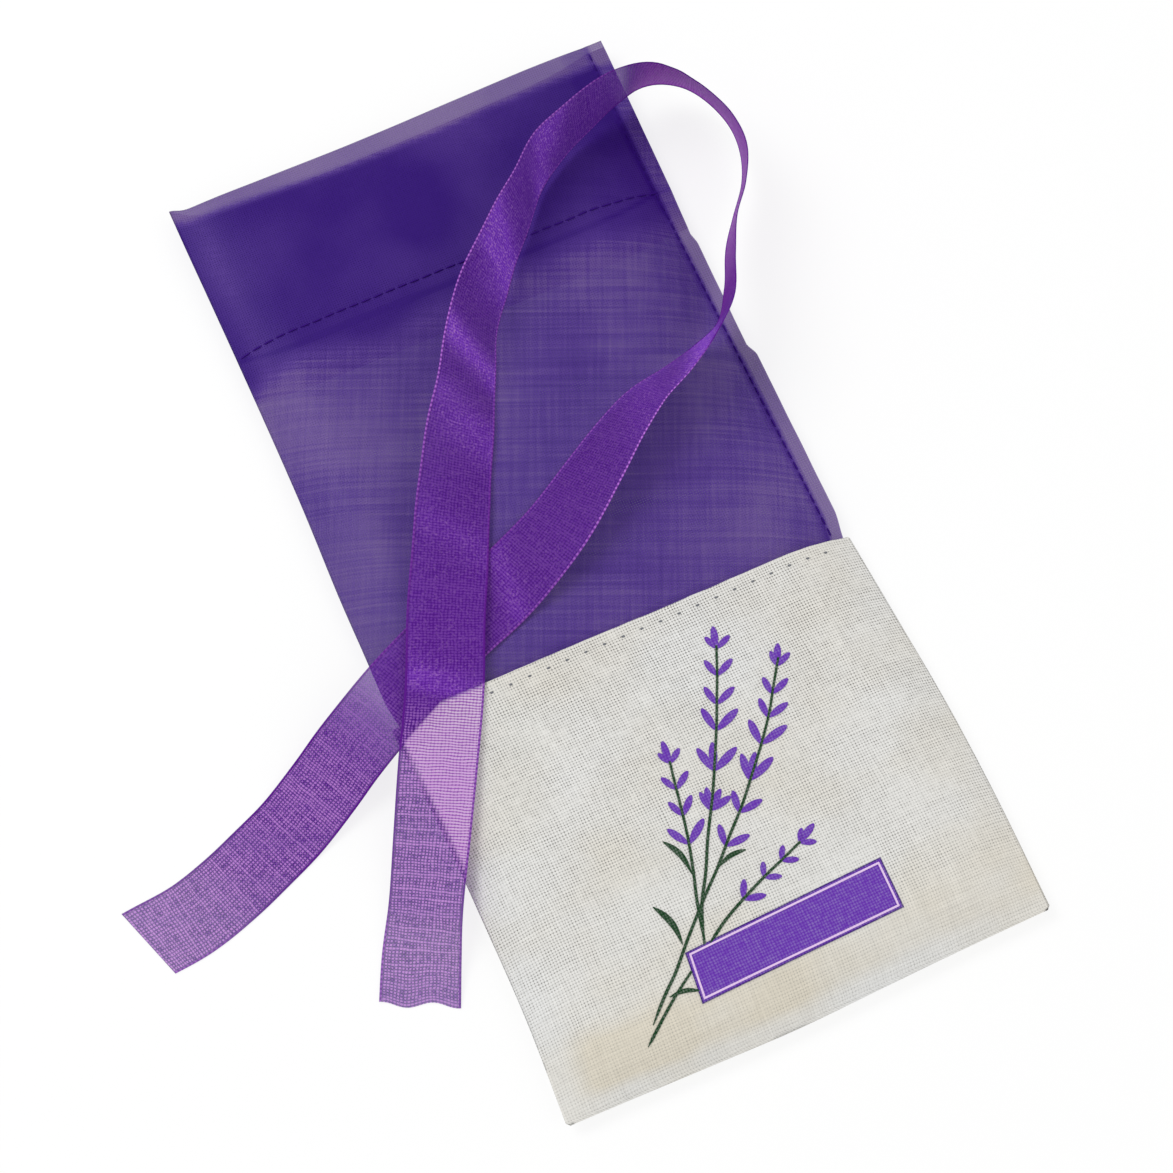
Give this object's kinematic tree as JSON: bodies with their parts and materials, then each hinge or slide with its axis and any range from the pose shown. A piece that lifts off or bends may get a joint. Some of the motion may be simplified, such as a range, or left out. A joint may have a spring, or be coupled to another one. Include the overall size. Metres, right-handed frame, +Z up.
{
  "type": "lavender sachet bag",
  "caption": "Flat empty sachet bag: printed cotton pocket below, sheer purple organza neck with a hemmed mouth, and a loose organza ribbon laid over it.",
  "frame": {"origin": "centre of the cotton pocket's underside, where the bag lies on a table", "axes": "+X across the bag, +Y along it from the pocket to the mouth, +Z up out of the printed front"},
  "size_m": [0.1665, 0.2, 0.0226],
  "materials": {
    "cotton": "plain-weave undyed cotton, matt",
    "organza": "sheer purple organza, slight sheen",
    "ribbon": "sheer purple organza ribbon with woven edges",
    "grey_thread": "grey sewing thread",
    "purple_thread": "dark purple sewing thread"
  },
  "bodies": {
    "pocket": {"cotton_front": "cotton", "cotton_back": "cotton", "cotton_left_fold": "cotton", "cotton_right_edge": "cotton", "cotton_bottom_edge": "cotton", "cotton_side_allowance": "cotton", "cotton_bottom_allowance": "cotton", "cotton_side_thread": "grey_thread", "cotton_bottom_thread": "grey_thread", "organza_front_lap": "organza", "organza_back_lap": "organza", "pocket_topstitch_front": "grey_thread", "pocket_topstitch_back": "grey_thread"},
    "neck": {"organza_front": "organza", "organza_back": "organza", "organza_left_fold": "organza", "organza_right_edge": "organza", "organza_seam_allowance": "organza", "organza_seam_thread": "purple_thread", "hem_stitch_front": "purple_thread", "hem_stitch_back": "purple_thread"},
    "ribbon_tails": {"ribbon_tail_left": "ribbon", "ribbon_tail_right": "ribbon"},
    "ribbon_upper": {"ribbon_lower_run": "ribbon", "ribbon_loop": "ribbon", "ribbon_upper_run": "ribbon"}
  },
  "joints": [
    {"name": "neck_fold", "type": "hinge", "parent": "pocket", "child": "neck", "pos_m": [0, 0.04, 0.0102], "axis": [1, 0, 0], "range_deg": [0, 90]},
    {"name": "ribbon_lift", "type": "slide", "parent": "pocket", "child": "ribbon_tails", "axis": [0, 0, 1], "range_m": [0, 0.06]},
    {"name": "ribbon_fold", "type": "hinge", "parent": "ribbon_tails", "child": "ribbon_upper", "pos_m": [0, 0.04, 0.0102], "axis": [1, 0, 0], "range_deg": [0, 90]}
  ],
  "couplings": [
    {"joint": "ribbon_fold", "follows": "neck_fold", "ratio": 1}
  ]
}
